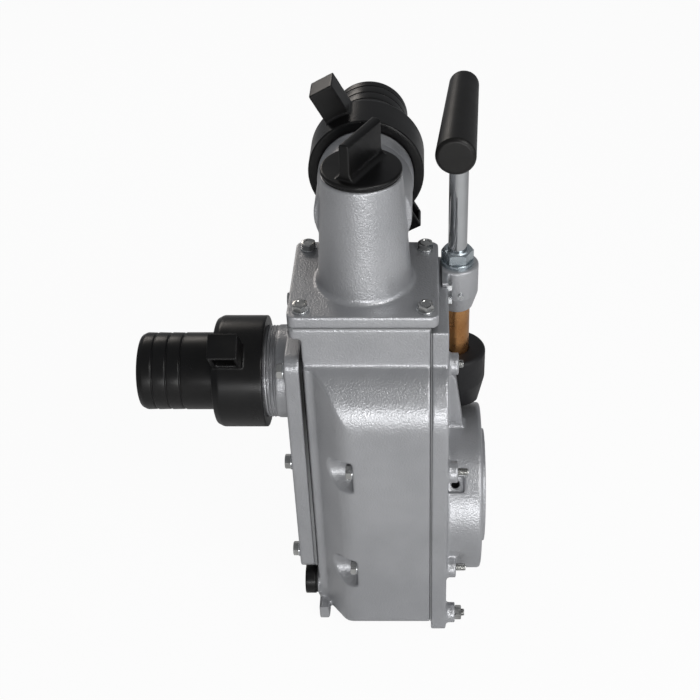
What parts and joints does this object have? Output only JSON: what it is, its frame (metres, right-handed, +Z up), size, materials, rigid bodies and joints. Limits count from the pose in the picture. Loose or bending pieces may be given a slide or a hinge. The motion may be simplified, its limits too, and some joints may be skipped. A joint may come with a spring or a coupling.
{
  "type": "self-priming centrifugal water pump",
  "caption": "Self-priming centrifugal water pump end with hose unions, filler cap, inlet check flap, drain plug and hand primer, for a small engine.",
  "frame": {"origin": "on the shaft axis, at the face of the spigot that meets the engine", "axes": "+X along the shaft towards the engine, +Y towards the discharge hose, +Z up"},
  "size_m": [0.3366, 0.2974, 0.5401],
  "materials": {
    "silver_casting": "silver aluminium paint over a sand casting, satin",
    "inner_iron": "bare casting, machined on its fits",
    "black_moulding": "moulded black plastic with a soft sheen",
    "black_rubber": "matt black rubber",
    "zinc_steel": "zinc plated, bright",
    "dark_steel": "blackened steel",
    "gland_zinc": "blue zinc plate",
    "bearing_steel": "ground and polished",
    "cage_brass": "machined",
    "barrel_brass": "drawn tube, darkened",
    "shaft_steel": "turned and ground",
    "rod_chrome": "hard chrome, polished",
    "flap_weight": "bare casting",
    "seal_ceramic": "white ceramic, lapped",
    "seal_body": "black seal bellows"
  },
  "bodies": {
    "housing": {"casing": "silver_casting", "inlet_cover": "silver_casting", "inlet_gasket": "black_rubber", "inlet_cover_bolts": "dark_steel", "inlet_cover_washers": "zinc_steel", "outlet_body": "silver_casting", "outlet_gasket": "black_rubber", "outlet_bolts": "zinc_steel", "outlet_washers": "zinc_steel", "rear_cover": "silver_casting", "rear_gasket": "black_rubber", "through_bolts": "zinc_steel", "through_washers": "zinc_steel", "cover_studs": "zinc_steel", "cover_nuts": "zinc_steel", "volute": "inner_iron", "volute_o_ring": "black_rubber", "seal_seat": "seal_ceramic", "lip_seal": "black_rubber", "bearing_outer_rings": "bearing_steel", "bearing_circlip": "dark_steel", "valve_pin": "zinc_steel", "inlet_hose_tail": "black_moulding", "inlet_union_washer": "black_rubber", "discharge_hose_tail": "black_moulding", "discharge_union_washer": "black_rubber", "primer_head": "silver_casting", "primer_head_screws": "zinc_steel", "primer_vent_screw": "zinc_steel", "primer_gland_nut": "gland_zinc", "primer_packing": "black_rubber", "primer_barrel": "barrel_brass", "primer_foot": "black_moulding", "primer_foot_screws": "zinc_steel"},
    "rotor": {"shaft": "shaft_steel", "impeller": "inner_iron", "impeller_bolt": "zinc_steel", "impeller_washer": "zinc_steel", "seal_head": "seal_body", "bearing_inner_rings": "bearing_steel"},
    "ball_sets": {"bearing_cages": "cage_brass", "bearing_balls": "bearing_steel"},
    "check_valve": {"valve_flap": "black_rubber", "valve_weight": "flap_weight", "valve_rivet": "zinc_steel"},
    "inlet_nut": {"inlet_union_nut": "black_moulding"},
    "discharge_nut": {"discharge_union_nut": "black_moulding"},
    "cap_seal": {"filler_cap_seal": "black_rubber"},
    "cap": {"filler_cap": "black_moulding"},
    "plug_washer": {"drain_washer": "black_rubber"},
    "plug": {"drain_plug": "black_moulding"},
    "primer_handle": {"primer_rod": "rod_chrome", "primer_piston": "cage_brass", "primer_cup": "black_rubber", "primer_bar": "shaft_steel", "primer_grip": "black_moulding"},
    "foot_valve": {"primer_valve_disc": "black_rubber"}
  },
  "joints": [
    {"name": "rotor_spin", "type": "hinge", "parent": "housing", "child": "rotor", "pos_m": [0, 0, 0], "axis": [1, 0, 0], "continuous": true},
    {"name": "ball_sets_spin", "type": "hinge", "parent": "housing", "child": "ball_sets", "pos_m": [0, 0, 0], "axis": [1, 0, 0], "continuous": true},
    {"name": "flap_swing", "type": "hinge", "parent": "housing", "child": "check_valve", "pos_m": [-0.1668, 0, 0.2015], "axis": [0, -1, 0], "range_deg": [0, 18]},
    {"name": "inlet_nut_turn", "type": "hinge", "parent": "housing", "child": "inlet_nut", "pos_m": [-0.2467, 0, 0.154], "axis": [-1, 0, 0], "continuous": true},
    {"name": "discharge_nut_turn", "type": "hinge", "parent": "housing", "child": "discharge_nut", "pos_m": [-0.1168, 0.1075, 0.331], "axis": [0, 1, 0], "continuous": true},
    {"name": "cap_rise", "type": "slide", "parent": "housing", "child": "cap_seal", "axis": [0, 0, 1], "range_m": [0, 0.01301]},
    {"name": "cap_turn", "type": "hinge", "parent": "cap_seal", "child": "cap", "pos_m": [-0.1168, 0, 0.375], "axis": [0, 0, 1], "range_deg": [0, 1170]},
    {"name": "plug_out", "type": "slide", "parent": "housing", "child": "plug_washer", "axis": [-1, 0, 0], "range_m": [0, 0.01751]},
    {"name": "plug_turn", "type": "hinge", "parent": "plug_washer", "child": "plug", "pos_m": [-0.1753, -0.052, -0.088], "axis": [-1, 0, 0], "range_deg": [0, 2520]},
    {"name": "primer_stroke", "type": "slide", "parent": "housing", "child": "primer_handle", "axis": [0, 0, 1], "range_m": [-0.09, 0]},
    {"name": "foot_valve_lift", "type": "slide", "parent": "housing", "child": "foot_valve", "axis": [0, 0, 1], "range_m": [0, 0.003]}
  ],
  "couplings": [
    {"joint": "ball_sets_spin", "follows": "rotor_spin", "ratio": 0.4329},
    {"joint": "cap_rise", "follows": "cap_turn", "m_per_rad": 0.00063662},
    {"joint": "plug_out", "follows": "plug_turn", "m_per_rad": 0.00039789}
  ]
}
